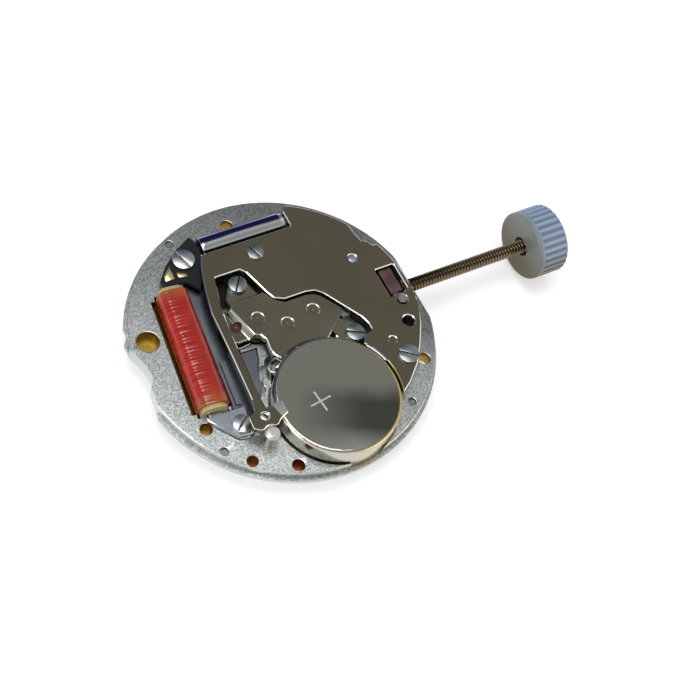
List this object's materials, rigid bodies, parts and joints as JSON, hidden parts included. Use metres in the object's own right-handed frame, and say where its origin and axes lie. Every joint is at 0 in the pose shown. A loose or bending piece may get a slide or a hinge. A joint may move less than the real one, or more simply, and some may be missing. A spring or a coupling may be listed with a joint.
{
  "type": "quartz watch movement",
  "caption": "Round quartz watch movement with coil, button cell, gear train, motion works for the hands and a long winding stem with a fluted transport crown.",
  "frame": {"origin": "on the hands' common axis, at the dial seat (the flange's lower face)", "axes": "+Z towards the battery side, +X along the winding stem towards the crown, +Y completes the right-handed frame (towards the crystal)"},
  "size_m": [0.0298, 0.0198, 0.005],
  "materials": {
    "plate": "nickel-plated, fine satin",
    "bridge": "nickel-plated, polished",
    "cover": "polished",
    "spacer": "black, matt",
    "board": "green laminate",
    "chip": "black epoxy",
    "crystal_can": "polished",
    "glass_seal": "dark glass seal",
    "leads": "tinned",
    "stator": "soft iron, satin",
    "core": "soft iron, satin",
    "winding": "red lacquer, glossy",
    "cheeks": "cream plastic",
    "terminal": "black laminate",
    "gold": "gold-plated",
    "coil_screws": "polished",
    "bridge_screws": "polished",
    "cover_screws": "polished",
    "cell_can": "polished",
    "cell_cap": "polished",
    "gasket": "dark nylon seal",
    "film": "amber film",
    "contact_minus": "gold-plated spring",
    "contact_plus": "tempered spring",
    "clamp": "satin",
    "clamp_post": "turned",
    "clamp_pin": "turned",
    "locating_pin": "turned",
    "jewel": "ruby, polished",
    "tube": "turned",
    "dial_bridge": "nickel-plated",
    "dial_screws": "polished",
    "keyless_pins": "turned",
    "jumper": "tempered",
    "magnet": "sintered",
    "rotor_steel": "polished",
    "intermediate_brass": "gilt",
    "seconds_brass": "gilt",
    "third_brass": "gilt",
    "driving_brass": "gilt",
    "cannon_steel": "polished",
    "minute_brass": "gilt",
    "hour_brass": "gilt",
    "idler_steel": "satin",
    "setting_steel": "satin",
    "pinion_steel": "satin",
    "stem_steel": "tempered, oiled",
    "crown": "pale blue-grey, moulded",
    "lever_steel": "satin",
    "yoke_steel": "satin"
  },
  "bodies": {
    "frame": {"main_plate": "plate", "train_bridge": "bridge", "module_cover": "cover", "module_spacer": "spacer", "circuit_board": "board", "integrated_circuit": "chip", "crystal_can": "crystal_can", "crystal_base": "glass_seal", "crystal_leads": "leads", "stator": "stator", "coil_core": "core", "coil_winding": "winding", "coil_cheeks": "cheeks", "coil_terminal_board": "terminal", "coil_contact_tabs": "gold", "coil_screws": "coil_screws", "bridge_screws": "bridge_screws", "cover_screws": "cover_screws", "battery_can": "cell_can", "battery_cap": "cell_cap", "battery_gasket": "gasket", "battery_insulator": "film", "negative_contact": "contact_minus", "positive_contact": "contact_plus", "battery_clamp": "clamp", "clamp_post": "clamp_post", "clamp_pin": "clamp_pin", "locating_pin": "locating_pin", "rotor_jewel": "jewel", "centre_tube": "tube", "dial_side_bridge": "dial_bridge", "dial_bridge_screws": "dial_screws", "keyless_pins": "keyless_pins", "lever_jumper": "jumper"},
    "rotor": {"rotor_magnet": "magnet", "rotor_shaft": "rotor_steel"},
    "intermediate": {"intermediate_wheel": "intermediate_brass"},
    "seconds": {"seconds_wheel": "seconds_brass"},
    "third": {"third_wheel": "third_brass"},
    "driving": {"driving_wheel": "driving_brass"},
    "cannon": {"cannon_pinion": "cannon_steel"},
    "minute": {"minute_wheel": "minute_brass"},
    "hour": {"hour_wheel": "hour_brass"},
    "idler": {"setting_idler": "idler_steel"},
    "setting": {"setting_wheel": "setting_steel"},
    "clutch": {"sliding_pinion": "pinion_steel"},
    "stem_and_crown": {"stem": "stem_steel", "crown": "crown"},
    "lever": {"setting_lever": "lever_steel"},
    "yoke": {"yoke": "yoke_steel"}
  },
  "joints": [
    {"name": "rotor_turn", "type": "hinge", "parent": "frame", "child": "rotor", "pos_m": [-0.00305, 0.00095, 0.00088], "axis": [0, 0, 1], "continuous": true},
    {"name": "intermediate_turn", "type": "hinge", "parent": "frame", "child": "intermediate", "pos_m": [-0.00158, 0.00098, 0.00126], "axis": [0, 0, 1], "continuous": true},
    {"name": "seconds_turn", "type": "hinge", "parent": "frame", "child": "seconds", "pos_m": [0, 0, 0.00094], "axis": [0, 0, 1], "continuous": true},
    {"name": "third_turn", "type": "hinge", "parent": "frame", "child": "third", "pos_m": [0.00195, 0.0003, 0.0007], "axis": [0, 0, 1], "continuous": true},
    {"name": "driving_turn", "type": "hinge", "parent": "frame", "child": "driving", "pos_m": [0, 0, 0.00038], "axis": [0, 0, 1], "continuous": true},
    {"name": "cannon_turn", "type": "hinge", "parent": "frame", "child": "cannon", "pos_m": [0, 0, 0.00027], "axis": [0, 0, 1], "continuous": true},
    {"name": "minute_turn", "type": "hinge", "parent": "frame", "child": "minute", "pos_m": [0.0008, 0.00179, 0.00027], "axis": [0, 0, 1], "continuous": true},
    {"name": "hour_turn", "type": "hinge", "parent": "frame", "child": "hour", "pos_m": [0, 0, 0.00017], "axis": [0, 0, 1], "continuous": true},
    {"name": "idler_turn", "type": "hinge", "parent": "frame", "child": "idler", "pos_m": [0.00322, 0.00107, 0.00027], "axis": [0, 0, 1], "continuous": true},
    {"name": "setting_turn", "type": "hinge", "parent": "frame", "child": "setting", "pos_m": [0.00435, 0, 0.00027], "axis": [0, 0, 1], "continuous": true},
    {"name": "stem_turn", "type": "hinge", "parent": "frame", "child": "clutch", "pos_m": [0.0058, 0, 0.0011], "axis": [1, 0, 0], "continuous": true},
    {"name": "stem_pull", "type": "slide", "parent": "clutch", "child": "stem_and_crown", "axis": [1, 0, 0], "range_m": [0, 0.0006]},
    {"name": "lever_swing", "type": "hinge", "parent": "frame", "child": "lever", "pos_m": [0.00765, -0.00115, 0.00162], "axis": [0, 0, 1], "range_deg": [-31.45, 0]},
    {"name": "yoke_swing", "type": "hinge", "parent": "frame", "child": "yoke", "pos_m": [0.0056, -0.0024, 0.00162], "axis": [0, 0, 1], "range_deg": [0, 1]}
  ],
  "couplings": [
    {"joint": "rotor_turn", "follows": "intermediate_turn", "ratio": -6},
    {"joint": "seconds_turn", "follows": "intermediate_turn", "ratio": -0.2},
    {"joint": "third_turn", "follows": "intermediate_turn", "ratio": 0.02},
    {"joint": "driving_turn", "follows": "intermediate_turn", "ratio": -0.0033333},
    {"joint": "minute_turn", "follows": "cannon_turn", "ratio": -0.33333},
    {"joint": "hour_turn", "follows": "cannon_turn", "ratio": 0.083333},
    {"joint": "idler_turn", "follows": "cannon_turn", "ratio": 0.46154},
    {"joint": "setting_turn", "follows": "cannon_turn", "ratio": -1},
    {"joint": "lever_swing", "follows": "stem_pull", "rad_per_m": -914.72},
    {"joint": "yoke_swing", "follows": "stem_pull", "rad_per_m": 29.086}
  ]
}
